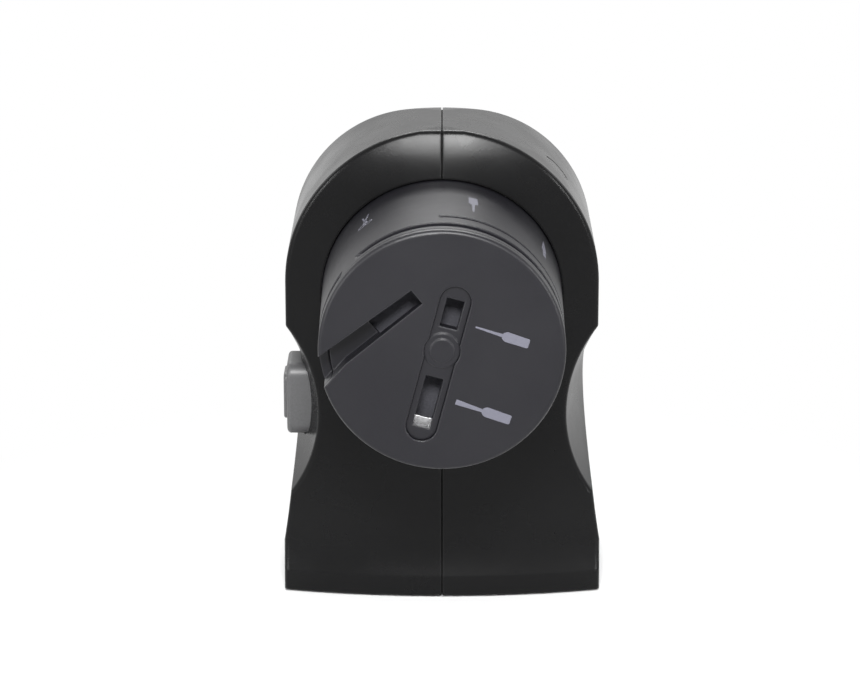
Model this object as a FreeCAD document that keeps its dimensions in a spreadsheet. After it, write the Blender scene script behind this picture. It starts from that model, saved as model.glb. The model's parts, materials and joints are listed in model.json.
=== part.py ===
import FreeCAD, Part
import math
import os

import Sketcher

# Electric knife sharpener, upright clamshell housing with a large turret on the front.
# Millimetres. X to the right, Y to the back, Z up. The origin is on the floor, on the seam
# between the two housing halves, in the middle of the overall depth.

V = FreeCAD.Vector
doc = FreeCAD.newDocument("knife_sharpener")
sheet = doc.addObject("Spreadsheet::Sheet", "sizes")


class Size:
    """A size that carries its number and the sheet expression that gives it."""

    def __init__(self, number, text):
        self.number = float(number)
        self.text = text

    def __add__(self, other):
        other = as_size(other)
        return Size(self.number + other.number, f"({self.text} + {other.text})")

    def __radd__(self, other):
        return as_size(other) + self

    def __sub__(self, other):
        other = as_size(other)
        return Size(self.number - other.number, f"({self.text} - {other.text})")

    def __rsub__(self, other):
        return as_size(other) - self

    def __mul__(self, other):
        other = as_size(other)
        return Size(self.number * other.number, f"({self.text} * {other.text})")

    def __rmul__(self, other):
        return as_size(other) * self

    def __truediv__(self, other):
        other = as_size(other)
        return Size(self.number / other.number, f"({self.text} / {other.text})")

    def __neg__(self):
        return Size(-self.number, f"(-1 * {self.text})")


def as_size(value):
    return value if isinstance(value, Size) else Size(value, str(value))


def sine(angle):
    angle = as_size(angle)
    return Size(math.sin(math.radians(angle.number)), f"sin({angle.text})")


def cosine(angle):
    angle = as_size(angle)
    return Size(math.cos(math.radians(angle.number)), f"cos({angle.text})")


def root(value):
    return Size(math.sqrt(value.number), f"sqrt({value.text})")


rows = 0


def cell(alias, number):
    """Writes one driving dimension into the sheet and returns it as a Size."""
    global rows
    rows += 1
    sheet.set(f"A{rows}", alias.replace("_", " "))
    sheet.set(f"B{rows}", str(number))
    sheet.setAlias(f"B{rows}", alias)
    return Size(number, f"sizes.{alias}")


# Housing
half_width = cell("half_width", 48)
drum_rise = cell("drum_rise", 3.3)
drum_skirt = cell("drum_skirt", 11.7)
overhang = cell("overhang", 4)
overhang_height = cell("overhang_height", 8)
wall = cell("wall", 2.5)
front = cell("front", 14)
rear = cell("rear", 74)
front_bow = cell("front_bow", 200)
rear_bow = cell("rear_bow", 66)
front_flare = cell("front_flare", 2.5)
plinth_height = cell("plinth_height", 7)
flare_top = cell("flare_top", 26)
foot_flare = cell("foot_flare", 1.2)
brow_depth = cell("brow_depth", 4.5)
brow_height = cell("brow_height", 20)
brow_radius = cell("brow_radius", 47)
rear_drop = cell("rear_drop", 55)
edge_round = cell("edge_round", 1.6)
scoop_radius = cell("scoop_radius", 46)
scoop_depth = cell("scoop_depth", 9.5)
scoop_drop = cell("scoop_drop", 37.7)
scoop_angle = cell("scoop_angle", 13)
foot_gap = cell("foot_gap", 0.8)
seam_groove = cell("seam_groove", 0.2)
seam_depth = cell("seam_depth", 0.7)
air = cell("air", 0.4)

# Turret
axis_height = cell("axis_height", 95.7)
turret_length = cell("turret_length", 60)
turret_front_radius = cell("turret_front_radius", 35.6)
turret_back_radius = cell("turret_back_radius", 36.5)
turret_wall = cell("turret_wall", 2.8)
flange_radius = cell("flange_radius", 40)
flange_thickness = cell("flange_thickness", 3)
face_thickness = cell("face_thickness", 3)
face_round = cell("face_round", 1.2)
parting_depth = cell("parting_depth", 2.7)
front_slot_depth = cell("front_slot_depth", 5.2)
front_slot_width = cell("front_slot_width", 4.5)
rear_slot_depth = cell("rear_slot_depth", 15.5)
rear_slot_width = cell("rear_slot_width", 2.5)
slot_chord = cell("slot_chord", 19)
knife_angle = cell("knife_angle", 56.7)
scissor_angle = cell("scissor_angle", 39)
guide_tilt = cell("guide_tilt", 14.8)
guide_width = cell("guide_width", 9)
guide_length = cell("guide_length", 47)
window_width = cell("window_width", 5.2)
guide_recess = cell("guide_recess", 1)
scissor_slot_width = cell("scissor_slot_width", 5)

# Drive
shaft_radius = cell("shaft_radius", 3)
wheel_radius = cell("wheel_radius", 25)
wheel_thickness = cell("wheel_thickness", 5)
stator_radius = cell("stator_radius", 27)
pole_radius = cell("pole_radius", 16)
core_length = cell("core_length", 22)
rotor_gap = cell("rotor_gap", 0.6)
bearing_radius = cell("bearing_radius", 9.5)
bearing_width = cell("bearing_width", 6)
fan_radius = cell("fan_radius", 20)
running_fit = cell("running_fit", 0.05)

# Button
button_height = cell("button_height", 23)
button_length = cell("button_length", 20)
button_drop = cell("button_drop", 36.9)
button_travel = cell("button_travel", 2.5)
button_proud = cell("button_proud", 0.4)
button_pad = cell("button_pad", 1.1)

drum_centre = axis_height + drum_rise
drum_foot = axis_height - drum_skirt
crown_level = drum_centre + half_width
scoop_height = axis_height - scoop_drop
button_level = axis_height - button_drop
face = -1 * (front + turret_length)
body_front = -1 * front
doc.recompute()


def pin(sketch, geometry, point, x, y):
    """Holds one sketch point at x, y with constraints that follow the sheet."""
    for kind, axis, value in (("DistanceX", -2, as_size(x)), ("DistanceY", -1, as_size(y))):
        if abs(value.number) < 1e-9 and not value.text.count("sizes"):
            sketch.addConstraint(Sketcher.Constraint("PointOnObject", geometry, point, axis))
        else:
            index = sketch.addConstraint(
                Sketcher.Constraint(kind, -1, 1, geometry, point, value.number))
            sketch.setExpression(f"Constraints[{index}]", value.text)


def arc_centre(start, end, radius, side):
    """Centre of the minor arc from start to end; side 1 bulges outwards on an anticlockwise loop."""
    middle = (start + end) * 0.5
    chord = end - start
    reach = math.sqrt(max(radius * radius - (chord.Length / 2) ** 2, 0))
    normal = V(-chord.y, chord.x, 0).normalize()
    return middle + normal * (reach * side)


def loop(sketch, corners):
    """Closes a loop through the corners. (x, y) ends a line; (x, y, radius, side) ends an arc."""
    first = sketch.GeometryCount
    count = len(corners)
    spots = [V(as_size(c[0]).number, as_size(c[1]).number, 0) for c in corners]
    ends = []
    for i in range(count):
        start, end, corner = spots[i], spots[(i + 1) % count], corners[(i + 1) % count]
        if len(corner) == 2:
            sketch.addGeometry(Part.LineSegment(start, end), False)
            ends.append((1, 2))
            continue
        radius, side = as_size(corner[2]), corner[3]
        centre = arc_centre(start, end, radius.number, side)
        a = math.atan2(start.y - centre.y, start.x - centre.x)
        b = math.atan2(end.y - centre.y, end.x - centre.x)
        if side < 0:
            a, b = b, a
        circle = Part.Circle(centre, V(0, 0, 1), radius.number)
        sketch.addGeometry(Part.ArcOfCircle(circle, a, b if b > a else b + 2 * math.pi), False)
        ends.append((2, 1) if side < 0 else (1, 2))
        index = sketch.addConstraint(
            Sketcher.Constraint("Radius", sketch.GeometryCount - 1, radius.number))
        sketch.setExpression(f"Constraints[{index}]", radius.text)
    for i in range(count):
        nxt = (i + 1) % count
        sketch.addConstraint(Sketcher.Constraint(
            "Coincident", first + i, ends[i][1], first + nxt, ends[nxt][0]))
    for i, corner in enumerate(corners):
        pin(sketch, first + i, ends[i][0], corner[0], corner[1])


def ring(sketch, radius, x=0, y=0):
    """Adds a circle that follows the sheet."""
    x, y, radius = as_size(x), as_size(y), as_size(radius)
    index = sketch.addGeometry(
        Part.Circle(V(x.number, y.number, 0), V(0, 0, 1), radius.number), False)
    if x.text == "0" and y.text == "0":
        sketch.addConstraint(Sketcher.Constraint("Coincident", index, 3, -1, 1))
    else:
        pin(sketch, index, 3, x, y)
    number = sketch.addConstraint(Sketcher.Constraint("Radius", index, radius.number))
    sketch.setExpression(f"Constraints[{number}]", radius.text)


class Piece:
    """A body whose features are drawn on its own origin planes."""

    def __init__(self, name, height=None):
        self.body = doc.addObject("PartDesign::Body", name)
        self.body.Label = name
        self.name = name
        self.count = 0
        if height is not None:
            self.body.setExpression("Placement.Base.z", as_size(height).text)

    def plane(self, role):
        return next(o for o in self.body.Origin.OriginFeatures if o.Role == role)

    def sketch(self, role, level=0):
        self.count += 1
        made = self.body.newObject("Sketcher::SketchObject", f"{self.name}_sketch_{self.count}")
        made.AttachmentSupport = [(self.plane(role), "")]
        made.MapMode = "FlatFace"
        made.setExpression(".AttachmentOffset.Base.z", as_size(level).text)
        return made

    def feature(self, kind, sketch):
        self.count += 1
        made = self.body.newObject(f"PartDesign::{kind}", f"{self.name}_{kind.lower()}_{self.count}")
        made.Profile = sketch
        return made

    def block(self, plane, low, high, draw, cut=False):
        """Pads, or pockets, what draw puts on the sketch between two levels along the normal."""
        low, high = as_size(low), as_size(high)
        role = {"x": "YZ_Plane", "y": "XZ_Plane", "z": "XY_Plane"}[plane]
        if plane == "y":
            level = -1 * (low if cut else high)
        else:
            level = high if cut else low
        made = self.feature("Pocket" if cut else "Pad", self.drawn(role, level, draw))
        made.setExpression("Length", (high - low).text)
        return made

    def drawn(self, role, level, draw):
        sketch = self.sketch(role, level)
        draw(sketch)
        return sketch

    def turned(self, corners, cut=False):
        """Revolves (radius, y) corners about the Y axis."""
        sketch = self.drawn("XY_Plane", 0, lambda s: loop(s, corners))
        made = self.feature("Groove" if cut else "Revolution", sketch)
        made.ReferenceAxis = (sketch, ["V_Axis"])
        made.Angle = 360
        return made

    def spun(self, corners, about_x=0):
        """Revolves (distance, z) corners about the Z axis."""
        sketch = self.drawn("XZ_Plane", 0, lambda s: loop(s, corners))
        made = self.feature("Revolution", sketch)
        made.ReferenceAxis = (sketch, ["V_Axis"])
        made.Angle = 360
        return made

    def rim_round(self, axis, level, radius):
        """Rounds every edge of the flat face that lies at one level along an axis."""
        doc.recompute()
        number, shape = as_size(level).number, self.body.Shape
        side = "xyz".index(axis)
        edges = [f"Edge{k + 1}" for k, edge in enumerate(shape.Edges)
                 if all(abs(v.Point[side] - number) < 1e-4 for v in edge.Vertexes)]
        self.count += 1
        base = self.body.Tip
        made = self.body.newObject("PartDesign::Fillet", f"{self.name}_fillet_{self.count}")
        made.Base = (base, edges)
        made.setExpression("Radius", as_size(radius).text)
        self.body.Tip = made
        return made

    def around(self, feature, count, axis="Y_Axis"):
        """Repeats a feature evenly round an axis of the body."""
        self.count += 1
        made = self.body.newObject("PartDesign::PolarPattern", f"{self.name}_pattern_{self.count}")
        made.Originals = [feature]
        made.Axis = (self.plane(axis), [""])
        made.Angle = 360
        made.Occurrences = count
        self.body.Tip = made
        return made


def rectangle(x0, y0, x1, y1):
    return lambda s: loop(s, [(x0, y0), (x1, y0), (x1, y1), (x0, y1)])


def rounded(x0, y0, x1, y1, r):
    return lambda s: loop(s, [(x0 + r, y0, r, 1), (x1 - r, y0), (x1, y0 + r, r, 1), (x1, y1 - r),
                              (x1 - r, y1, r, 1), (x0 + r, y1), (x0, y1 - r, r, 1), (x0, y0 + r)])


def disc(radius, x=0, y=0):
    return lambda s: ring(s, radius, x, y)


def turned_corner(angle, across, along):
    """A point given along and across a direction that leans clockwise from straight up."""
    return (along * sine(angle) + across * cosine(angle), along * cosine(angle) - across * sine(angle))


def leaning_box(angle, half, low, high):
    """A rectangle drawn about a direction that leans clockwise from straight up by the angle."""
    half = as_size(half)
    return lambda s: loop(s, [turned_corner(angle, -1 * half, as_size(low)),
                              turned_corner(angle, half, as_size(low)),
                              turned_corner(angle, half, as_size(high)),
                              turned_corner(angle, -1 * half, as_size(high))])


finished = {}


def keep(label, item):
    item.Label = label
    finished[label] = item
    return item


def combine(kind, name, parts):
    made = doc.addObject(f"Part::{kind}", name)
    if kind == "Cut":
        made.Base, made.Tool = parts
    else:
        made.Shapes = parts
    return made


def rod(name, radius, length, x, y, z, along):
    """A cylinder that starts at x, y, z and runs along one axis."""
    made = doc.addObject("Part::Cylinder", name)
    made.setExpression("Radius", as_size(radius).text)
    made.setExpression("Height", as_size(length).text)
    turn = {"x": (V(0, 1, 0), 90), "y": (V(1, 0, 0), -90), "z": (V(0, 0, 1), 0)}[along]
    made.Placement = FreeCAD.Placement(V(), FreeCAD.Rotation(*turn))
    place(made, x, y, z)
    return made


def place(item, x, y, z):
    for axis, value in zip("xyz", (x, y, z)):
        item.setExpression(f"Placement.Base.{axis}", as_size(value).text)


def brick(name, low, high):
    """A box between two corners."""
    made = doc.addObject("Part::Box", name)
    for side, a, b in zip(("Length", "Width", "Height"), low, high):
        made.setExpression(side, (as_size(b) - a).text)
    place(made, *low)
    return made


def housing_front_view(inset, bottom):
    """Front view of the housing, from the flared foot over the chamfered drum."""
    w = half_width - inset
    waist = w - overhang
    top = drum_centre
    foot = drum_foot + inset * 0.4
    under = foot - overhang_height
    hem = w + foot_flare
    return lambda s: loop(s, [(-1 * hem, bottom), (hem, bottom), (hem, flare_top - 10),
                              (waist, under, 420, -1), (w, foot), (w, top),
                              (0, top + w, w, 1), (-1 * w, top, w, 1), (-1 * w, foot),
                              (-1 * waist, under), (-1 * hem, flare_top - 10, 420, -1)])


def housing_form(name, inset, bottom):
    """The whole outside (inset 0) or the whole cavity (inset by the wall) as one solid."""
    inset = as_size(inset)
    over = rear + 40
    prism = Piece(f"{name}_prism")
    prism.block("y", -1 * over, over, housing_front_view(inset, bottom))

    nose_radius = front_bow - inset
    bow_axis = front_bow - front
    nose = Piece(f"{name}_nose")
    brow = nose_radius - brow_depth
    crown = crown_level - inset
    nose.spun([(0, bottom), (nose_radius + front_flare, bottom),
               (nose_radius + front_flare, plinth_height), (nose_radius, flare_top, 60, -1),
               (nose_radius, crown - brow_height), (brow, crown + 0.3, brow_radius, 1),
               (0, crown + 0.3)])
    nose.body.setExpression("Placement.Base.y", bow_axis.text)

    tail_radius = rear_bow - inset
    tail = Piece(f"{name}_tail")
    drop = rear_drop - inset
    tail.spun([(0, bottom), (tail_radius - 3, bottom), (tail_radius, crown - drop),
               (tail_radius - drop, crown, drop, 1), (0, crown + 0.3)])
    tail.body.setExpression("Placement.Base.y", (rear - rear_bow).text)

    whole = combine("MultiCommon", f"{name}_whole", [prism.body, nose.body, tail.body])
    scoops = [scoop_cylinder(f"{name}_scoop_{word}", side, inset)
              for side, word in ((-1, "left"), (1, "right"))]
    return combine("Cut", name, (whole, combine("MultiFuse", f"{name}_scoops", scoops)))


def scoop_cylinder(name, side, grown):
    """The round tool that hollows one flank; it leans outwards, so the hollow fades to the back."""
    scoop = doc.addObject("Part::Cylinder", name)
    scoop.setExpression("Radius", (scoop_radius + grown).text)
    scoop.Height = 160
    turn = FreeCAD.Rotation(V(0, 0, 1), V(side * math.sin(math.radians(scoop_angle.number)),
                                          math.cos(math.radians(scoop_angle.number)), 0))
    scoop.Placement = FreeCAD.Placement(V(), turn)
    lead = 40
    place(scoop, side * (half_width - scoop_depth + scoop_radius - lead * sine(scoop_angle)),
          body_front - lead * cosine(scoop_angle), scoop_height)
    return scoop


snug = cell("snug", 0.1)
seat = cell("seat", 0.3)
rib = cell("rib", 2.4)
button_place = cell("button_place", 11)
button_corner = cell("button_corner", 4)
switch_front = cell("switch_front", 24)
screw_radius = cell("screw_radius", 1.6)
screw_head = cell("screw_head", 3.3)
screw_seat = cell("screw_seat", 30)
boss_radius = cell("boss_radius", 4.2)
inlet_height = cell("inlet_height", 16)
inlet_radius = cell("inlet_radius", 6)
inlet_bore = cell("inlet_bore", 3.6)
foot_radius = cell("foot_radius", 5)
plate_thickness = cell("plate_thickness", 3)
plate_radius = cell("plate_radius", 43)
button_depth = cell("button_depth", 14)
button_lip = cell("button_lip", 1.4)
button_stem = cell("button_stem", 4.5)
plunger_radius = cell("plunger_radius", 2.2)
plunger_reach = cell("plunger_reach", 3)
switch_back = cell("switch_back", 8)
switch_half_width = cell("switch_half_width", 8)
switch_top = cell("switch_top", 10)
switch_foot = cell("switch_foot", 12.7)
brush_gap = cell("brush_gap", 0.3)
guide_foot = cell("guide_foot", 27.5)
guide_hub = cell("guide_hub", 5.2)
guide_boss = cell("guide_boss", 3.5)
commutator_radius = cell("commutator_radius", 8)
doc.recompute()

button_back = half_width - button_depth
beyond = half_width + 12
flange_front = body_front + wall + flange_radius * flange_radius / (2 * front_bow) + air
flange_back = flange_front + flange_thickness
plate_front = flange_back + air
plate_back = plate_front + plate_thickness
front_bearing_back = plate_back + bearing_width
core_front = front_bearing_back + 13
core_back = core_front + core_length
rear_bracket_front = core_back + 18
rear_bearing_back = rear_bracket_front + bearing_width
bearing_hub = bearing_radius + 3
pillar_circle = stator_radius - 2.7
pillar_radius = 2.2
wheel_front = face + front_slot_depth + front_slot_width + snug
wheel_back = wheel_front + wheel_thickness


# Turret, built about its own axis
def make_turret_ring():
    ring_front = face + parting_depth
    piece = Piece("turret_ring", axis_height)
    piece.turned([(turret_front_radius - turret_wall, ring_front),
                  (turret_front_radius, ring_front),
                  (turret_back_radius, body_front),
                  (turret_back_radius, flange_front),
                  (flange_radius, flange_front),
                  (flange_radius, flange_back),
                  (turret_back_radius - turret_wall, flange_back)])
    outside = turret_back_radius + 5
    slot_front = face + front_slot_depth
    slot_back = slot_front + front_slot_width
    piece.block("y", slot_front, slot_back,
                leaning_box(knife_angle, outside, slot_chord, outside), cut=True)
    piece.block("y", slot_front, slot_back, leaning_box(-13, 19, 30.5, outside), cut=True)
    piece.block("y", slot_front, slot_back, leaning_box(-74, 14, 33.4, outside), cut=True)
    piece.block("y", face + rear_slot_depth, face + rear_slot_depth + rear_slot_width,
                leaning_box(knife_angle, outside, slot_chord, outside), cut=True)
    piece.block("y", face, slot_back, scissor_outline(0), cut=True)
    notch = piece.block("y", flange_front - 1, flange_back + 1,
                        disc(1.6, 0, flange_radius + 0.6), cut=True)
    piece.around(notch, 12)
    return keep("turret_ring", piece.body)


def scissor_outline(grown):
    """The scissor slot, wider towards the rim, drawn about its own lean."""
    half = scissor_slot_width / 2 + grown
    angle = -1 * scissor_angle
    middle = slot_chord - 2
    reach = turret_front_radius + 5
    corners = [(4.5 + grown, middle - half), (4.5 + grown, middle + half),
               (-1 * reach, middle + half + 2), (-1 * reach, middle - half - 3),
               (-24, middle - half)]
    return lambda s: loop(s, [turned_corner(angle, as_size(across), along)
                              for across, along in corners])


def guide_outline(grown):
    """The stadium round the screwdriver windows, off centre along its own lean."""
    half = guide_width / 2 + grown
    low = guide_width / 2 - guide_foot
    high = guide_length - guide_foot - guide_width / 2
    points = [(-1 * half, low), (0, low - half, half, 1), (half, low, half, 1),
              (half, high), (0, high + half, half, 1), (-1 * half, high, half, 1)]

    def draw(sketch):
        turned = []
        for point in points:
            corner = turned_corner(guide_tilt, point[0], as_size(point[1]))
            turned.append(corner + tuple(point[2:]))
        loop(sketch, turned)
    return draw


def make_turret_face():
    piece = Piece("turret_face", axis_height)
    rim = face + parting_depth - seat
    spigot = turret_front_radius - turret_wall - snug
    piece.turned([(0, face), (turret_front_radius - face_round, face),
                  (turret_front_radius, face + face_round, face_round, 1),
                  (turret_front_radius, rim), (spigot, rim),
                  (spigot, face + face_thickness + 1.5), (0, face + face_thickness + 1.5)])
    piece.block("y", face - 1, face + face_thickness + 2, guide_outline(snug), cut=True)
    piece.block("y", face - 1, face + guide_recess + seat, disc(guide_hub + snug), cut=True)
    piece.block("y", face - 1, face + face_thickness + 2, scissor_outline(0), cut=True)
    return keep("turret_face", piece.body)


def make_screwdriver_guide():
    piece = Piece("screwdriver_guide", axis_height)
    guide_front = face + guide_recess
    guide_back = face + face_thickness + 1.5
    piece.block("y", guide_front, guide_back, guide_outline(0))
    piece.block("y", guide_front - 0.35, guide_front, disc(guide_hub))
    piece.block("y", guide_front - 0.7, guide_front, disc(guide_boss))
    half = window_width / 2
    piece.block("y", guide_front - 1, guide_back + 1, leaning_box(guide_tilt, half, 6.9, 15.6), cut=True)
    piece.block("y", guide_front - 1, guide_back + 1,
                leaning_box(guide_tilt, half, -23.6, -8.2), cut=True)
    return keep("screwdriver_guide", piece.body)


def make_guide_rest():
    """Steel stop behind the end of the long screwdriver window."""
    piece = Piece("guide_rest", axis_height)
    rest_front = face + face_thickness + 1.5
    piece.block("y", rest_front, rest_front + 1.2, leaning_box(guide_tilt, 4, -27, -21.5))
    return keep("guide_rest", piece.body)


def make_scissor_guide():
    """Channel behind the outer end of the scissor slot; the inner end opens onto the wheel."""
    back = face + front_slot_depth + front_slot_width - seat
    floor = face + front_slot_depth + 2.3
    block = Piece("scissor_guide_block", axis_height)
    block.block("y", face + face_thickness + 1.5 + seat, back, lambda s: loop(s, [
        turned_corner(-1 * scissor_angle, as_size(across), as_size(along))
        for across, along in ((-40, 9), (-12, 9), (-12, 24), (-40, 24))]))
    block.block("y", face, floor, scissor_outline(0), cut=True)
    bound = Piece("scissor_guide_bound", axis_height)
    bound.block("y", face, back + 1, disc(turret_front_radius - turret_wall - seat))
    keep("scissor_guide", combine("MultiCommon", "scissor_guide_all", [block.body, bound.body]))


def make_blade_guide():
    """Wall between the two knife slots; the wheel turns inside it."""
    piece = Piece("blade_guide", axis_height)
    outer = turret_front_radius - turret_wall - snug
    guide_front = face + front_slot_depth + front_slot_width
    guide_back = face + rear_slot_depth
    piece.turned([(wheel_radius + 1, guide_front), (outer, guide_front),
                  (outer, guide_back), (wheel_radius + 1, guide_back)])
    piece.block("y", guide_front - 1, guide_back + 1,
                leaning_box(knife_angle, 40, -40, slot_chord), cut=True)
    return keep("blade_guide", piece.body)


# Rotor, on the same axis
def make_wheel():
    piece = Piece("grinding_wheel", axis_height)
    piece.turned([(shaft_radius + running_fit, wheel_front), (wheel_radius - 1, wheel_front),
                  (wheel_radius, wheel_front + 1), (wheel_radius, wheel_back - 1),
                  (wheel_radius - 1, wheel_back), (shaft_radius + running_fit, wheel_back)])
    return keep("grinding_wheel", piece.body)


def make_rotor():
    shaft = Piece("motor_shaft", axis_height)
    nut_front = wheel_front - 3
    tip = nut_front - 0.6
    shaft.turned([(0, tip), (shaft_radius - 0.5, tip), (shaft_radius, tip + 0.5),
                  (shaft_radius, rear_bearing_back - 0.5),
                  (shaft_radius - 0.5, rear_bearing_back), (0, rear_bearing_back)])
    keep("motor_shaft", shaft.body)

    nut = Piece("wheel_nut", axis_height)
    flat = 5.5
    nut.block("y", nut_front, wheel_front, lambda s: loop(s, [
        (flat * math.cos(math.radians(60 * k)), flat * math.sin(math.radians(60 * k)))
        for k in range(6)]))
    nut.block("y", nut_front - 1, wheel_front + 1, disc(shaft_radius + running_fit), cut=True)
    keep("wheel_nut", nut.body)

    flange = Piece("wheel_flange", axis_height)
    bore = shaft_radius + running_fit
    flange.turned([(bore, wheel_back), (9, wheel_back), (9, wheel_back + 1.5),
                   (5.5, wheel_back + 3), (5.5, wheel_back + 5), (bore, wheel_back + 5)])
    keep("wheel_flange", flange.body)

    core_radius = pole_radius - rotor_gap
    core = Piece("armature_core", axis_height)
    core.turned([(bore, core_front), (core_radius, core_front), (core_radius, core_back),
                 (bore, core_back)])
    slot = core.block("y", core_front - 1, core_back + 1, rectangle(-1.4, 9, 1.4, 14), cut=True)
    core.around(slot, 12)
    mouth = core.block("y", core_front - 1, core_back + 1, rectangle(-0.6, 13, 0.6, 17), cut=True)
    core.around(mouth, 12)
    keep("armature_core", core.body)

    winding = Piece("armature_winding", axis_height)
    winding.turned([(5, core_front - 4), (12, core_front - 4), (13.6, core_front - 2.4, 1.6, 1),
                    (13.6, core_front - snug), (5, core_front - snug)])
    bar = winding.block("y", core_front - snug - 0.5, core_back + snug + 0.5,
                        rectangle(-1.3, 9.1, 1.3, 13.4))
    winding.around(bar, 12)
    winding.turned([(5, core_back + snug), (13.6, core_back + snug), (13.6, core_back + 2.4),
                    (12, core_back + 4, 1.6, 1), (5, core_back + 4)])
    keep("armature_winding", winding.body)

    commutator = Piece("commutator", axis_height)
    commutator.turned([(bore, front_bearing_back + 1), (commutator_radius, front_bearing_back + 1),
                       (commutator_radius, front_bearing_back + 8.5), (bore, front_bearing_back + 8.5)])
    kerf = commutator.block("y", front_bearing_back, front_bearing_back + 10,
                            rectangle(-0.25, commutator_radius - 0.6, 0.25, commutator_radius + 1),
                            cut=True)
    commutator.around(kerf, 12)
    keep("commutator", commutator.body)

    fan = Piece("cooling_fan", axis_height)
    fan_front = core_back + 7
    fan.turned([(bore, fan_front), (fan_radius, fan_front), (fan_radius, fan_front + 1.2),
                (7, fan_front + 1.2), (7, fan_front + 8), (bore, fan_front + 8)])
    blade = fan.block("y", fan_front + 0.6, fan_front + 7, rectangle(-0.6, 6, 0.6, fan_radius - 0.4))
    fan.around(blade, 9)
    keep("cooling_fan", fan.body)


# Motor, fixed
def stator_window(side):
    """One gap between the poles, where the coils pass."""
    inner, outer, cheek = pole_radius, stator_radius - 5, pole_radius - 2
    low = root(inner * inner - cheek * cheek)
    high = root(outer * outer - cheek * cheek)
    return lambda s: loop(s, [
        (side * cheek, -1 * side * low, inner, -1), (side * cheek, -1 * side * high),
        (side * cheek, side * high, outer, 1), (side * cheek, side * low)])


def make_motor():
    core = Piece("stator_core", axis_height)
    core.turned([(pole_radius, core_front), (stator_radius, core_front),
                 (stator_radius, core_back), (pole_radius, core_back)])
    for side in (-1, 1):
        core.block("y", core_front - 1, core_back + 1, stator_window(side), cut=True)
    keep("stator_core", core.body)

    coils = Piece("field_coils", axis_height)
    inner, outer = pole_radius + 0.4, stator_radius - 5.4
    coils.turned([(inner, core_front - 4), (outer, core_front - 4),
                  (outer, core_back + 4), (inner, core_back + 4)])
    cheek = pole_radius - 2 + 0.4
    coils.block("y", core_front - 0.4, core_back + 0.4,
                rectangle(-1 * cheek, -40, cheek, 40), cut=True)
    coils.block("y", core_front - 6, core_back + 6, rectangle(-40, -1.5, 40, 1.5), cut=True)
    keep("field_coils", coils.body)

    for word, near, far, level, back in (
            ("front", plate_back, front_bearing_back, core_front, False),
            ("rear", rear_bracket_front, rear_bearing_back, core_back, True)):
        bracket = Piece(f"motor_{word}_bracket", axis_height)
        disc_back = near + 2.6
        bracket.turned([(bearing_radius, near), (stator_radius, near), (stator_radius, disc_back),
                        (bearing_hub, disc_back), (bearing_hub, far), (bearing_radius, far)])
        spot = pillar_circle * 0.70711
        low, high = (level + snug, near + 0.5) if back else (disc_back - 0.5, level - snug)
        pillar = bracket.block("y", low, high, disc(pillar_radius, spot, spot))
        bracket.around(pillar, 4)
        keep(f"motor_{word}_bracket", bracket.body)

        bearing = Piece(f"{word}_bearing", axis_height)
        outer = bearing_radius - snug
        bearing.turned([(shaft_radius + running_fit, near + 0.1), (outer, near + 0.1),
                        (outer, far - 0.1), (shaft_radius + running_fit, far - 0.1)])
        groove = [(shaft_radius + 1.5, near), (bearing_radius - 1.8, near),
                  (bearing_radius - 1.8, near + 0.6), (shaft_radius + 1.5, near + 0.6)]
        bearing.turned(groove, cut=True)
        keep(f"{word}_bearing", bearing.body)

    holders, brushes, springs = [], [], []
    for side, word in ((-1, "left"), (1, "right")):
        inside = commutator_radius + 1.5
        spans = ((inside, 23.0, 4, 3.5), (commutator_radius + brush_gap, 18.0, 3, 2.5), (18.2, 22.0, 2, 1.5))
        shapes = []
        for k, (start, stop, half_y, half_z) in enumerate(spans):
            middle = front_bearing_back + 4.75
            low, high = (start, stop) if side > 0 else (-1 * as_size(stop), -1 * as_size(start))
            shapes.append(brick(f"brush_{word}_{k}",
                                (low, middle - half_y, axis_height - half_z),
                                (high, middle + half_y, axis_height + half_z)))
        channel = brick(f"brush_{word}_channel",
                        (inside - 1 if side > 0 else -22.2, middle - 3.1, axis_height - 2.6),
                        (22.2 if side > 0 else 1 - inside, middle + 3.1, axis_height + 2.6))
        holders.append(combine("Cut", f"brush_holder_{word}", (shapes[0], channel)))
        brushes.append(shapes[1])
        springs.append(shapes[2])
    keep("brush_holders", combine("MultiFuse", "brush_holder_pair", holders))
    keep("carbon_brushes", combine("MultiFuse", "carbon_brush_pair", brushes))
    keep("brush_springs", combine("MultiFuse", "brush_spring_pair", springs))

    plate = Piece("turret_bearing_plate", axis_height)
    plate.turned([(bearing_hub, plate_front), (plate_radius, plate_front),
                  (plate_radius, plate_back), (bearing_hub, plate_back)])
    keep("turret_bearing_plate", plate.body)

    tube = Piece("shaft_tube", axis_height)
    tube_front = wheel_back + 9
    tube.turned([(shaft_radius + 0.8, tube_front), (7, tube_front), (8, plate_front - 4),
                 (20, plate_front - 2.4), (20, plate_front), (shaft_radius + 0.8, plate_front)])
    keep("shaft_tube", tube.body)


# Button and switch
def button_outline(grown):
    half_y = button_length / 2 + grown
    half_z = button_height / 2 + grown
    return rounded(button_place - half_y, button_level - half_z, button_place + half_y,
                   button_level + half_z, button_corner + grown)


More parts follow.
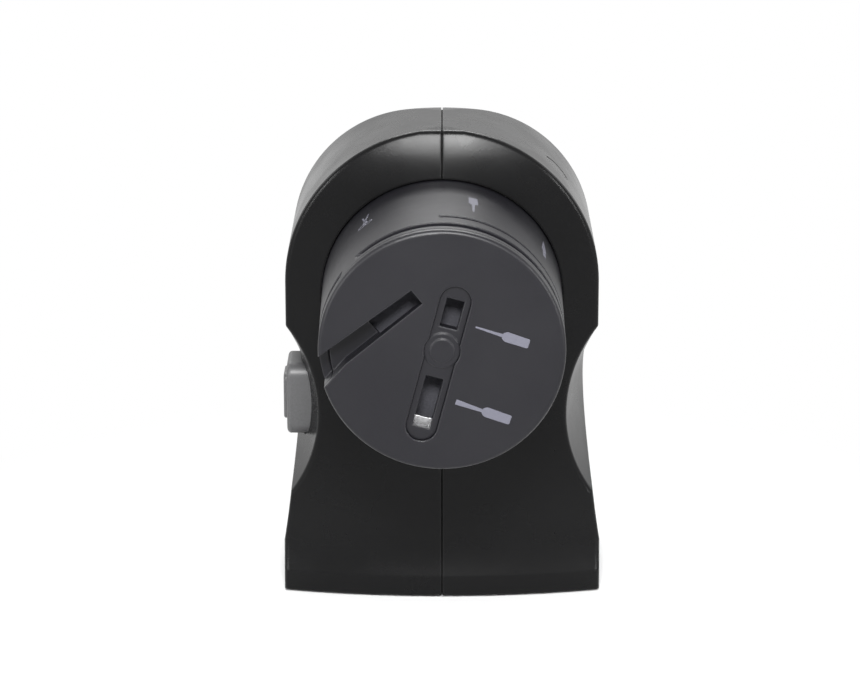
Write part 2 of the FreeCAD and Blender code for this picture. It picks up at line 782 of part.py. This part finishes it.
def make_button():
    outer = half_width + button_proud
    block = Piece("button_block")
    block.block("x", -1 * outer, -1 * button_back, button_outline(0))
    block.rim_round("x", -1 * outer, 1.3)
    pad = Piece("button_pad")
    pad_y, pad_z = button_length / 2 - 4, button_height / 2 - 4.2
    pad.block("x", -1 * (outer + button_pad), -1 * outer + 0.5,
              rounded(button_place - pad_y, button_level - pad_z, button_place + pad_y,
                      button_level + pad_z, 2))
    pad.rim_round("x", -1 * (outer + button_pad), 0.6)
    back = Piece("button_lip_plate")
    back.block("x", -1 * (button_back + 1.5), -1 * button_back, button_outline(button_lip))
    stem = rod("button_stem_rod", 2.5, button_stem, -1 * button_back, button_place, button_level, "x")
    keep("power_button", combine("MultiFuse", "button_all", [block.body, pad.body, back.body, stem]))

    plunger_front = button_stem + seat - button_back
    keep("switch_plunger", rod("plunger", plunger_radius, plunger_reach - switch_front - plunger_front,
                               plunger_front, button_place, button_level, "x"))
    coil_front = seat - button_back
    coil = combine("Cut", "spring_tube", (
        rod("spring_outer", 4.4, -1 * (switch_front + seat + coil_front), coil_front,
            button_place, button_level, "x"),
        rod("spring_inner", 3.3, 20, coil_front - 2, button_place, button_level, "x")))
    keep("button_spring", coil)

    case = brick("switch_case",
                 (-1 * switch_front, button_place - switch_half_width, button_level - switch_foot),
                 (-1 * switch_back, button_place + switch_half_width, button_level + switch_top))
    bore = rod("switch_bore", plunger_radius + seat, plunger_reach + button_travel + 2,
               -1 * switch_front - 1, button_place, button_level, "x")
    tabs = [brick(f"switch_tab_{k}", (-1 * switch_back, button_place - 0.4 + k, button_level - 6),
                  (5 - switch_back, button_place + 0.4 + k, button_level - 1)) for k in (-5, 0, 5)]
    keep("switch_body", combine("Cut", "switch_all",
                                (combine("MultiFuse", "switch_solid", [case] + tabs), bore)))


# Housing
screw_spots = ((54, 24), (4, 20), (56, axis_height - 37.7), (9, axis_height + 35.3))
foot_spots = ((-36, -2), (36, -2), (-34, 50), (34, 50))


def rounded_front(whole):
    """Rounds the rim of the front face, all the way from foot to foot over the crown."""
    doc.recompute()
    body = doc.addObject("PartDesign::Body", "outside_rounded")
    body.BaseFeature = whole
    doc.recompute()
    rim = []
    for k, edge in enumerate(body.Shape.Edges):
        spots = [edge.valueAt(edge.FirstParameter + t * (edge.LastParameter - edge.FirstParameter))
                 for t in (0, 0.25, 0.5, 0.75, 1)]
        level = max(p.z for p in spots) - min(p.z for p in spots) < 0.01
        if max(p.y for p in spots) < -3 and not level:
            rim.append(f"Edge{k + 1}")
    made = body.newObject("PartDesign::Fillet", "front_round")
    made.Base = (body.Group[0], rim)
    made.setExpression("Radius", edge_round.text)
    body.Tip = made
    return body


def make_housing():
    outside = rounded_front(housing_form("outside", 0, foot_gap))
    cavity = housing_form("cavity", wall, foot_gap + wall)
    shell = combine("Cut", "shell", (outside, cavity))

    webs = []
    for word, start, bore in (("front", plate_back + seat, plate_radius - 1.5),
                              ("rear", rear_bracket_front + 2.6 + seat, stator_radius - 2)):
        slab = brick(f"{word}_web_slab", (-1 * beyond, start, axis_height - 20),
                     (beyond, start + rib, crown_level))
        hole = rod(f"{word}_web_bore", bore, 20, 0, start - 5, axis_height, "y")
        webs.append(combine("Cut", f"{word}_web", (slab, hole)))
    shelf_top = button_level - switch_foot - seat
    shelf = brick("switch_shelf", (-1 * beyond, button_place - switch_half_width, shelf_top - rib),
                  (-1 * switch_back, button_place + switch_half_width, shelf_top))
    inner = combine("MultiCommon", "inner_ribs",
                    [cavity, combine("MultiFuse", "rib_set", webs + [shelf])])
    bosses = [rod(f"boss_{k}", boss_radius, 2 * beyond, -1 * beyond, y, z, "x")
              for k, (y, z) in enumerate(screw_spots)]
    boss_set = combine("MultiCommon", "boss_set", [outside, combine("MultiFuse", "boss_rods", bosses)])
    solid = combine("MultiFuse", "housing_solid", [shell, inner, boss_set])

    tools = [rod("turret_opening", turret_back_radius + air, 40, 0, body_front - 20, axis_height, "y")]
    tools.append(rod("inlet_hole", inlet_radius + snug, 40, 0, rear - 20, inlet_height, "y"))
    hole = Piece("button_hole")
    hole.block("x", -1 * beyond, -1 * (button_back + 2.5), button_outline(air))
    tools.append(hole.body)
    for k in range(6):
        tools.append(brick(f"vent_{k}", (-16, rear - 12, axis_height - 11.7 + 6.5 * k),
                           (16, rear + 10, axis_height - 8.7 + 6.5 * k)))
    for k, (y, z) in enumerate(screw_spots):
        tools.append(rod(f"screw_hole_{k}", screw_radius + snug, screw_seat + 14, -13, y, z, "x"))
        tools.append(rod(f"screw_sink_{k}", screw_head + seat, 40, screw_seat - 3, y, z, "x"))
    for k, (x, y) in enumerate(foot_spots):
        tools.append(rod(f"foot_seat_{k}", foot_radius + seat, 1.1, x, y, foot_gap - 0.1, "z"))
    core = housing_form("seam_core", seam_depth, foot_gap + seam_depth)
    slit = brick("seam_slit", (-1 * seam_groove, -1 * beyond, -10), (seam_groove, 2 * beyond, 200))
    tools.append(combine("Cut", "seam_tool", (slit, core)))
    open_solid = combine("Cut", "housing_open", (solid, combine("MultiFuse", "housing_tools", tools)))
    for word, low, high in (("left", -1 * beyond, 0), ("right", 0, beyond)):
        half = brick(f"{word}_side", (low, -1 * beyond, -10), (high, 2 * beyond, 200))
        keep(f"{word}_housing", combine("MultiCommon", f"{word}_half", [open_solid, half]))


def make_fittings():
    screws = []
    for k, (y, z) in enumerate(screw_spots):
        shank = rod(f"shank_{k}", screw_radius, screw_seat + 8, -11, y, z, "x")
        head = rod(f"head_{k}", screw_head, 2, screw_seat - 3, y, z, "x")
        screws.append(combine("MultiFuse", f"screw_{k}", [shank, head]))
    keep("housing_screws", combine("MultiFuse", "screw_set", screws))
    feet = [rod(f"foot_{k}", foot_radius, foot_gap + 1, x, y, 0, "z")
            for k, (x, y) in enumerate(foot_spots)]
    keep("rubber_feet", combine("MultiFuse", "foot_set", feet))

    bush = Piece("cord_inlet_bush", inlet_height)
    bush.turned([(inlet_bore, rear - 9), (inlet_radius + 2, rear - 9), (inlet_radius + 2, rear - 7),
                 (inlet_radius, rear - 7), (inlet_radius, rear - 2), (inlet_radius + 2, rear - 2),
                 (inlet_radius + 2, rear - 0.6), (inlet_bore + 0.6, rear), (inlet_bore, rear)])
    keep("cord_inlet_bush", bush.body)


make_turret_ring()
make_turret_face()
make_screwdriver_guide()
make_guide_rest()
make_scissor_guide()
make_blade_guide()
make_wheel()
make_rotor()
make_motor()
make_button()
make_housing()
make_fittings()
doc.recompute()

faults = [o.Name for o in doc.Objects if "Invalid" in o.State or "Error" in o.State]
for label, item in finished.items():
    shape = item.Shape
    if shape.isNull() or not shape.isValid() or not shape.Solids:
        faults.append(label)
if faults:
    raise RuntimeError("failed: " + ", ".join(faults))

os.makedirs("parts", exist_ok=True)
for label, item in finished.items():
    item.Shape.exportStep(f"parts/{label}.step")
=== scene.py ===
import json
import math

import bpy
from mathutils import Matrix, Vector


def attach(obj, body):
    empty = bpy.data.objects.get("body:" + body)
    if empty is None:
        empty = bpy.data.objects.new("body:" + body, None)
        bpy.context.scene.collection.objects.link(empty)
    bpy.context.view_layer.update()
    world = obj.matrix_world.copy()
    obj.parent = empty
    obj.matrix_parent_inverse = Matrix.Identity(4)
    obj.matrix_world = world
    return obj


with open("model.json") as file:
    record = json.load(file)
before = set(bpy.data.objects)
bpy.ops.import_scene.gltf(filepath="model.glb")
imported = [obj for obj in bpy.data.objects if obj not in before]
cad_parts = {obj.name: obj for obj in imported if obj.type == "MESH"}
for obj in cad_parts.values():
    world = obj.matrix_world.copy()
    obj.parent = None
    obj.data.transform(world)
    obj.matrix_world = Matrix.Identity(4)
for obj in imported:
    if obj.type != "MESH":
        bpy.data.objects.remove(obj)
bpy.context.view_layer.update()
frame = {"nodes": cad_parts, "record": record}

# Electric knife sharpener: finishes for the solids of the frame, the printed signs and a screw plug.
# Metres. X to the right, Y to the back, Z up.
MM = 0.001

# Turret: its axis, its face and its slightly conical rim, with depths counted from the face
TURRET_AXIS_Z = 95.7 * MM
FACE_Y = -74 * MM
RIM_FRONT_RADIUS = 35.6 * MM
RIM_FRONT_DEPTH = 2.7 * MM
RIM_GROWTH = 0.9 / 57.3
PRINT_DEPTH = 0.03 * MM  # how far a print stands off the plastic
WRAP_START = 0.4 * MM  # how far over the rim a sign lies before it is wrapped on
WRAP_STRIP = 0.5 * MM  # width of the strips that let a sign bend round the rim
WRAP_STRIPS = 5  # strips on each side of a sign's middle line

# Camera, a metre off and a little above the object
CAMERA_DISTANCE = 1.0
CAMERA_ELEVATION = math.radians(15.75)
CAMERA_AIM_Z = 73 * MM
CAMERA_LENS = 135
SENSOR_WIDTH = 36
PICTURE_WIDTH = 860
PICTURE_SHIFT = (-12, 7.6)

# Floor: its own colour near the object, white beyond
FLOOR_SIZE = 12
FLOOR_COLOUR = (0.86, 0.86, 0.86, 1)
FLOOR_NEAR = 0.08
FLOOR_FAR = 0.2

# Softboxes: name, place, height of the aim, width, length, watts
LAMPS = [
    ("front_top_softbox", (0, -0.92, 0.68), 0.1, 0.3, 0.22, 17),
    ("rear_top_softbox", (0, 0.8, 0.9), 0.1, 0.7, 0.3, 9),
    ("front_left_softbox", (-0.85, -0.75, 0.35), 0.07, 0.1, 0.5, 6),
    ("rear_left_softbox", (-0.9, 0.5, 0.5), 0.08, 0.35, 0.6, 1.5),
    ("front_right_softbox", (0.85, -0.75, 0.35), 0.07, 0.1, 0.5, 6),
    ("rear_right_softbox", (0.9, 0.5, 0.5), 0.08, 0.35, 0.6, 1.5),
]
SKY_FILL = 0.2  # strength of the white surroundings as light; seen directly or mirrored they are 1

# Finishes
GLOSS_SPREAD = 0.04  # how far the roughness of plastic wanders
EDGE_POLISH = 0.12  # how much smoother a rubbed edge is
MACHINING_SPREAD = 0.08


def add_camera():
    data = bpy.data.cameras.new("camera")
    camera = bpy.data.objects.new("camera", data)
    bpy.context.scene.collection.objects.link(camera)
    back = Vector((0, -math.cos(CAMERA_ELEVATION), math.sin(CAMERA_ELEVATION)))
    camera.location = Vector((0, 0, CAMERA_AIM_Z)) + CAMERA_DISTANCE * back
    camera.rotation_euler = (math.pi / 2 - CAMERA_ELEVATION, 0, 0)
    data.lens = CAMERA_LENS
    data.sensor_width = SENSOR_WIDTH
    data.shift_x, data.shift_y = (shift / PICTURE_WIDTH for shift in PICTURE_SHIFT)
    data.clip_start = 0.01
    bpy.context.scene.camera = camera


def add_lamp(name, place, aim_z, width, length, power):
    data = bpy.data.lights.new(name, "AREA")
    data.shape = "RECTANGLE"
    data.size, data.size_y = width, length
    data.energy = power
    lamp = bpy.data.objects.new(name, data)
    bpy.context.scene.collection.objects.link(lamp)
    lamp.location = place
    lamp.rotation_euler = (Vector((0, 0, aim_z)) - Vector(place)).to_track_quat("-Z", "Y").to_euler()


# Shader groups
def new_group(name, inputs, outputs):
    group = bpy.data.node_groups.new(name, "ShaderNodeTree")
    for label, kind, value in inputs:
        socket = group.interface.new_socket(label, in_out="INPUT", socket_type=f"NodeSocket{kind}")
        if value is not None:
            socket.default_value = value
    for label, kind in outputs:
        group.interface.new_socket(label, in_out="OUTPUT", socket_type=f"NodeSocket{kind}")
    return group, Nodes(group.nodes, group.links)


class Nodes:
    """Adds and links the nodes of one tree."""

    def __init__(self, nodes, links):
        self.nodes, self.links = nodes, links

    def add(self, kind, settings=None, **sockets):
        node = self.nodes.new(f"ShaderNode{kind}" if not kind.startswith("Node") else kind)
        for key, value in (settings or {}).items():
            setattr(node, key, value)
        for key, value in sockets.items():
            self.feed(node.inputs[key.replace("_", " ")], value)
        return node

    def feed(self, socket, value):
        if hasattr(value, "is_output"):
            self.links.new(value, socket)
        else:
            socket.default_value = value

    def math(self, operation, *values, clamp=False):
        node = self.add("Math", {"operation": operation, "use_clamp": clamp})
        for socket, value in zip(node.inputs, values):
            self.feed(socket, value)
        return node.outputs[0]

    def ramp(self, value, low, high, to_low=0.0, to_high=1.0, smooth=False):
        node = self.add("MapRange", {"interpolation_type": "SMOOTHSTEP" if smooth else "LINEAR"})
        for socket, item in zip(node.inputs[:5], (value, low, high, to_low, to_high)):
            self.feed(socket, item)
        return node.outputs[0]

    def mix(self, mask, a, b):
        node = self.add("Mix", {"data_type": "RGBA"})
        self.feed(node.inputs[0], mask)
        self.feed(node.inputs[6], a)
        self.feed(node.inputs[7], b)
        return node.outputs[2]


def make_edge_group():
    """Mask that is 1 on outer and inner edges, and the normal softened over them."""
    group, n = new_group("soft_edge", [("Radius", "Float", 0.0008)],
                         [("Mask", "Float"), ("Normal", "Vector")])
    given = n.add("NodeGroupInput").outputs
    bevel = n.add("Bevel", {"samples": 6}, Radius=given["Radius"]).outputs[0]
    flat = n.add("NewGeometry").outputs["Normal"]
    dot = n.add("VectorMath", {"operation": "DOT_PRODUCT"})
    n.feed(dot.inputs[0], bevel)
    n.feed(dot.inputs[1], flat)
    turned = n.math("SUBTRACT", 1.0, dot.outputs["Value"])
    out = n.add("NodeGroupOutput").inputs
    n.feed(out["Mask"], n.ramp(turned, 0.02, 0.25, smooth=True))
    n.feed(out["Normal"], bevel)
    return group


def make_grain_group():
    """Spark-eroded mould texture: a fine pebble height, and slow and fine variation masks."""
    group, n = new_group("mould_grain", [("Scale", "Float", 2500.0)],
                         [("Height", "Float"), ("Fine", "Float"), ("Slow", "Float")])
    given = n.add("NodeGroupInput").outputs
    place = n.add("TexCoord").outputs["Object"]
    pebble = n.add("TexVoronoi", {"feature": "SMOOTH_F1"}, Vector=place, Scale=given["Scale"])
    speckle = n.add("TexNoise", Vector=place, Scale=given["Scale"], Detail=3.0).outputs["Fac"]
    slow = n.add("TexNoise", Vector=place, Scale=38.0, Detail=4.0, Roughness=0.6).outputs["Fac"]
    out = n.add("NodeGroupOutput").inputs
    pebbles = n.math("MULTIPLY", pebble.outputs["Distance"], 0.6)
    n.feed(out["Height"], n.math("ADD", pebbles, speckle))
    n.feed(out["Fine"], n.ramp(speckle, 0.3, 0.7))
    n.feed(out["Slow"], n.ramp(slow, 0.35, 0.65))
    return group


edge_group = make_edge_group()
grain_group = make_grain_group()


def new_material(name):
    material = bpy.data.materials.new(name)
    material.use_nodes = True
    material.node_tree.nodes.clear()
    n = Nodes(material.node_tree.nodes, material.node_tree.links)
    shader = n.add("BsdfPrincipled")
    n.links.new(shader.outputs[0], n.add("OutputMaterial").inputs["Surface"])
    return material, n, shader


def grouped(n, group, **sockets):
    node = n.add("Group", {"node_tree": group})
    for key, value in sockets.items():
        n.feed(node.inputs[key], value)
    return node.outputs


def moulded(name, colour, worn_and_highlight_colour, rough, gloss=0.5, grain=2500.0, bump=0.05, edge=0.0006, speck=0.25):
    """Moulded plastic: grain, uneven gloss, and edges smoother and lighter in colour, partly as rubbed
    wear and partly as a painted highlight along the rims.
    """
    material, n, shader = new_material(name)
    grains = grouped(n, grain_group, Scale=grain)
    edges = grouped(n, edge_group, Radius=edge)
    darker = tuple(c * (1 - speck) for c in colour) + (1,)
    lighter = tuple(c * (1 + speck) for c in colour) + (1,)
    toned = n.mix(grains["Slow"], n.mix(grains["Fine"], darker, lighter), tuple(colour) + (1,))
    # Edge mask: the lighter edge colour is partly rubbed wear and partly a painted highlight along the
    # rims
    wear_and_highlight_mask = n.math("MULTIPLY", edges["Mask"], n.ramp(grains["Slow"], 0.0, 1.0, 0.5, 1.0))
    n.feed(shader.inputs["Base Color"], n.mix(wear_and_highlight_mask, toned, tuple(worn_and_highlight_colour) + (1,)))
    uneven = n.ramp(grains["Slow"], 0.0, 1.0, rough - GLOSS_SPREAD, rough + GLOSS_SPREAD)
    n.feed(shader.inputs["Roughness"], n.math("SUBTRACT", uneven, n.math("MULTIPLY", wear_and_highlight_mask, EDGE_POLISH)))
    shader.inputs["Specular IOR Level"].default_value = gloss
    surface = n.add("Bump", Strength=bump, Distance=0.0001)
    n.feed(surface.inputs["Height"], grains["Height"])
    n.feed(surface.inputs["Normal"], edges["Normal"])
    n.feed(shader.inputs["Normal"], surface.outputs[0])
    return material


def metal(name, colour, rough, stretch=(1, 1, 1)):
    """Bare metal with machining lines along one direction."""
    material, n, shader = new_material(name)
    place = n.add("TexCoord").outputs["Object"]
    lines = n.add("Mapping", Vector=place)
    lines.inputs["Scale"].default_value = stretch
    streak = n.add("TexNoise", Vector=lines.outputs[0], Scale=900.0, Detail=3.0).outputs["Fac"]
    grains = grouped(n, grain_group, Scale=1400.0)
    edges = grouped(n, edge_group, Radius=0.3 * MM)
    dull = tuple(c * 0.7 for c in colour) + (1,)
    toned = n.mix(n.ramp(streak, 0.3, 0.7), dull, tuple(colour) + (1,))
    tarnish = n.math("MULTIPLY", grains["Slow"], 0.3)
    n.feed(shader.inputs["Base Color"], n.mix(tarnish, toned, dull))
    turned = n.ramp(streak, 0.3, 0.7, rough - MACHINING_SPREAD, rough + MACHINING_SPREAD)
    n.feed(shader.inputs["Roughness"], turned)
    shader.inputs["Metallic"].default_value = 1.0
    surface = n.add("Bump", Strength=0.15, Distance=0.00005)
    n.feed(surface.inputs["Height"], streak)
    n.feed(surface.inputs["Normal"], edges["Normal"])
    n.feed(shader.inputs["Normal"], surface.outputs[0])
    return material


# The second colour of each moulded finish is its edge colour: partly wear, partly painted highlight
materials = {
    "black_shell": moulded("black_shell", (0.0028, 0.0028, 0.003), (0.014, 0.014, 0.014),
                           rough=0.27, gloss=0.15, edge=0.0009, bump=0.1),
    "grey_turret": moulded("grey_turret", (0.006, 0.0058, 0.008), (0.03, 0.03, 0.034),
                           rough=0.4, gloss=0.33, grain=3200.0, edge=0.0007),
    "button_grey": moulded("button_grey", (0.062, 0.062, 0.064), (0.1, 0.1, 0.1), rough=0.42),
    "inner_plastic": moulded("inner_plastic", (0.02, 0.02, 0.021), (0.035, 0.035, 0.035), rough=0.5),
    "foot_rubber": moulded("foot_rubber", (0.012, 0.012, 0.012), (0.02, 0.02, 0.02), rough=0.75,
                           gloss=0.3, grain=1800.0, bump=0.12),
    "steel": metal("steel", (0.6, 0.6, 0.61), 0.32, stretch=(1, 0.05, 1)),
    "cast_alloy": metal("cast_alloy", (0.55, 0.55, 0.56), 0.45),
    "copper": metal("copper", (0.55, 0.2, 0.09), 0.35, stretch=(0.1, 1, 0.1)),
    "brass": metal("brass", (0.65, 0.48, 0.2), 0.35),
    "carbon": moulded("carbon", (0.02, 0.02, 0.02), (0.04, 0.04, 0.04), rough=0.55),
    "abrasive": moulded("abrasive", (0.04, 0.04, 0.047), (0.06, 0.06, 0.066), rough=0.85, gloss=0.3,
                        grain=1500.0, bump=0.9),
    "sign_ink": moulded("sign_ink", (0.09, 0.09, 0.115), (0.1, 0.1, 0.125), rough=0.55, edge=0.0001,
                        speck=0.08),
}

slots = {part["node"]: part["material_slot"] for part in frame["record"]["subparts"]}
for node, item in frame["nodes"].items():
    item.data.materials.clear()
    item.data.materials.append(materials[slots[node]])


# Printed signs, flat in XY with their length along X until they are put in place
def deselect():
    bpy.ops.object.select_all(action="DESELECT")


def pick(item, wanted):
    """Select the vertices for which wanted(place) holds, and go to edit mode."""
    bpy.ops.object.mode_set(mode="OBJECT")
    for part in (*item.data.polygons, *item.data.edges):
        part.select = False
    for vertex in item.data.vertices:
        vertex.select = wanted(vertex.co)
    bpy.ops.object.mode_set(mode="EDIT")


def flat_bar(length, width, tip=1.0, neck=0.0, middle=(0, 0), turn=0.0):
    """A flat bar; tip widens its +X end, and neck is the length of a narrower -X end."""
    deselect()
    bpy.ops.mesh.primitive_plane_add(size=1, location=(0, 0, 0))
    bar = bpy.context.object
    bar.scale = (length, width, 1)
    bpy.ops.object.transform_apply(location=False, rotation=False, scale=True)
    pick(bar, lambda place: place.x > length * 0.49)
    bpy.ops.transform.resize(value=(1, tip, 1), center_override=(0, 0, 0))
    if neck:
        pick(bar, lambda place: place.x < -length * 0.49)
        bpy.ops.mesh.extrude_region_move(TRANSFORM_OT_translate={"value": (-neck, 0, 0)})
        bpy.ops.transform.resize(value=(1, 0.45, 1), center_override=(0, 0, 0))
    bpy.ops.mesh.select_all(action="SELECT")
    bpy.ops.mesh.bevel(offset=width * min(tip, 1) * 0.14, segments=3, affect="VERTICES")
    bpy.ops.object.mode_set(mode="OBJECT")
    bar.location = (*middle, 0)
    bar.rotation_euler = (0, 0, turn)
    bpy.ops.object.transform_apply(location=True, rotation=True, scale=True)
    return bar


def flat_loop(radius, line, middle):
    """A flat ring, such as the bow of a pair of scissors."""
    deselect()
    bpy.ops.mesh.primitive_circle_add(vertices=28, radius=radius, fill_type="NGON",
                                      location=(*middle, 0))
    loop = bpy.context.object
    bpy.ops.object.mode_set(mode="EDIT")
    bpy.ops.mesh.select_all(action="SELECT")
    bpy.ops.mesh.inset(thickness=line)
    bpy.ops.mesh.delete(type="FACE")
    bpy.ops.object.mode_set(mode="OBJECT")
    bpy.ops.object.transform_apply(location=True, rotation=True, scale=True)
    return loop


def printed(name, pieces, place, wrap=None):
    """Join flat pieces, put them in place, wrap them on a node, and give the ink its thickness."""
    deselect()
    for piece in pieces:
        piece.select_set(True)
    sign = pieces[0]
    bpy.context.view_layer.objects.active = sign
    bpy.ops.object.join()
    sign.name = name
    if wrap:
        bpy.ops.object.mode_set(mode="EDIT")
        for step in range(-WRAP_STRIPS, WRAP_STRIPS + 1):
            bpy.ops.mesh.select_all(action="SELECT")
            bpy.ops.mesh.bisect(plane_co=(0, step * WRAP_STRIP, 0), plane_no=(0, 1, 0))
        bpy.ops.object.mode_set(mode="OBJECT")
    sign.matrix_world = place
    bpy.ops.object.transform_apply(location=True, rotation=True, scale=True)
    if wrap:
        hug = sign.modifiers.new("hug", "SHRINKWRAP")
        hug.target = wrap
        hug.wrap_method = "NEAREST_SURFACEPOINT"
        hug.wrap_mode = "ABOVE_SURFACE"
        hug.offset = PRINT_DEPTH
        bpy.ops.object.modifier_apply(modifier=hug.name)
    body = sign.modifiers.new("ink", "SOLIDIFY")
    body.thickness = 2 * PRINT_DEPTH
    body.offset = -1 if wrap else 0
    bpy.ops.object.modifier_apply(modifier=body.name)
    sign.data.materials.clear()
    sign.data.materials.append(materials["sign_ink"])
    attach(sign, "turret")


def on_face(x, z, lean):
    """Place on the turret's face; lean is clockwise from level, seen from the front."""
    return (Matrix.Translation((x, FACE_Y, z)) @ Matrix.Rotation(math.radians(lean), 4, "Y")
            @ Matrix.Rotation(math.pi / 2, 4, "X"))


def on_rim(angle, depth):
    """Place on the turret's rim; the angle is clockwise from the top, the depth from the face."""
    radius = RIM_FRONT_RADIUS + RIM_GROWTH * (depth - RIM_FRONT_DEPTH)
    return (Matrix.Translation((0, FACE_Y + depth, TURRET_AXIS_Z))
            @ Matrix.Rotation(math.radians(angle), 4, "Y")
            @ Matrix.Translation((0, 0, radius + WRAP_START))
            @ Matrix.Rotation(math.pi / 2, 4, "Z"))


def screwdriver(shaft, handle, tip):
    """Pictogram of a screwdriver with its bit at -X; the tip widens or points the bit."""
    shaft_width, handle_width, ferrule = 0.95 * MM, 3.0 * MM, 1.1 * MM
    return [flat_bar(shaft, shaft_width, tip, middle=(-shaft / 2, 0), turn=math.pi),
            flat_bar(handle, handle_width, 0.92, neck=ferrule, middle=(handle / 2 + ferrule, 0))]


def knife():
    """Pictogram of a knife with its point at +X."""
    return [flat_bar(11 * MM, 2.6 * MM, 0.25, middle=(5.6 * MM, 0)),
            flat_bar(6 * MM, 1.7 * MM, 0.8, neck=0.9 * MM, middle=(-3.6 * MM, 0), turn=math.pi)]


def scissors():
    """Pictogram of open scissors with their points at +X."""
    blades = [flat_bar(9 * MM, 1.0 * MM, 0.5, middle=(2 * MM, 0.3 * side * MM), turn=0.2 * side)
              for side in (-1, 1)]
    bows = [flat_loop(1.4 * MM, 0.45 * MM, (-3.6 * MM, 1.3 * side * MM)) for side in (-1, 1)]
    return blades + bows


# Face signs beside the two driver windows: pointed bit above, flat bit below
printed("upper_face_sign", screwdriver(8 * MM, 7 * MM, 0.5), on_face(17.2 * MM, 100.4 * MM, 18.5))
printed("lower_face_sign", screwdriver(8 * MM, 7.6 * MM, 1.7), on_face(11.5 * MM, 78.0 * MM, 19.5))

# Rim signs: the one at the seam tells which use the turret is set for
ring = frame["nodes"]["turret_ring"]
printed("rim_screwdriver_sign", screwdriver(8 * MM, 7 * MM, 0.6), on_rim(14.8, 35 * MM), ring)
printed("rim_knife_sign", knife(), on_rim(56.7, 39 * MM), ring)
printed("rim_scissors_sign", scissors(), on_rim(-39, 42 * MM), ring)


# Plug over the upper front screw of the right half, flush with the round top
def add_screw_plug():
    y, z = 9 * MM, 131 * MM
    radius = 3.4 * MM
    length = 12 * MM
    drum_radius, drum_z = 47.95 * MM, 99 * MM
    surface_x = math.sqrt(drum_radius ** 2 - (z - drum_z) ** 2)
    deselect()
    bpy.ops.mesh.primitive_cylinder_add(vertices=192, radius=drum_radius, depth=20 * MM,
                                        location=(0, y, drum_z), rotation=(math.pi / 2, 0, 0))
    drum = bpy.context.object
    deselect()
    bpy.ops.mesh.primitive_cylinder_add(vertices=48, radius=radius, depth=length,
                                        location=(surface_x, y, z), rotation=(0, math.pi / 2, 0))
    plug = bpy.context.object
    plug.name = "screw_plug"
    bpy.ops.object.transform_apply(location=True, rotation=True, scale=True)
    cut = plug.modifiers.new("flush", "BOOLEAN")
    cut.operation = "INTERSECT"
    cut.solver = "EXACT"
    cut.object = drum
    bpy.ops.object.modifier_apply(modifier=cut.name)
    bpy.data.objects.remove(drum)
    plug.data.materials.clear()
    plug.data.materials.append(materials["black_shell"])
    deselect()
    plug.select_set(True)
    bpy.context.view_layer.objects.active = plug
    bpy.ops.object.shade_smooth_by_angle(angle=math.radians(25))
    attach(plug, "housing")


add_screw_plug()


# Floor, backdrop and light
def seen_white(n):
    """1 for the rays that see the background: from the camera, off gloss and through glass."""
    path = n.add("LightPath").outputs
    through = n.math("MAXIMUM", path["Is Glossy Ray"], path["Is Transmission Ray"])
    return n.math("MAXIMUM", path["Is Camera Ray"], through)


def add_stage():
    deselect()
    bpy.ops.mesh.primitive_plane_add(size=FLOOR_SIZE, location=(0, 0, 0))
    floor = bpy.context.object
    floor.name = "floor"
    material, n, shader = new_material("pale_floor")
    shader.inputs["Base Color"].default_value = FLOOR_COLOUR
    shader.inputs["Roughness"].default_value = 0.9
    shader.inputs["Specular IOR Level"].default_value = 0.1
    place = n.add("TexCoord").outputs["Object"]
    reach = n.add("VectorMath", {"operation": "LENGTH"})
    n.feed(reach.inputs[0], place)
    far = n.ramp(reach.outputs["Value"], FLOOR_NEAR, FLOOR_FAR, smooth=True)
    blend = n.add("MixShader")
    n.feed(blend.inputs[0], n.math("MULTIPLY", seen_white(n), far))
    n.links.new(shader.outputs[0], blend.inputs[1])
    n.links.new(n.add("Emission").outputs[0], blend.inputs[2])
    out = next(x for x in n.nodes if x.type == "OUTPUT_MATERIAL")
    n.links.new(blend.outputs[0], out.inputs["Surface"])
    floor.data.materials.append(material)


def add_world():
    world = bpy.data.worlds.new("studio")
    bpy.context.scene.world = world
    world.use_nodes = True
    world.node_tree.nodes.clear()
    n = Nodes(world.node_tree.nodes, world.node_tree.links)
    background = n.add("Background")
    n.feed(background.inputs["Strength"], n.ramp(seen_white(n), 0.0, 1.0, SKY_FILL, 1.0))
    n.feed(background.inputs["Color"], (1, 1, 1, 1))
    n.links.new(background.outputs[0], n.add("OutputWorld").inputs["Surface"])


add_camera()
add_stage()
add_world()
for lamp_values in LAMPS:
    add_lamp(*lamp_values)

bpy.context.scene.view_settings.view_transform = "Standard"
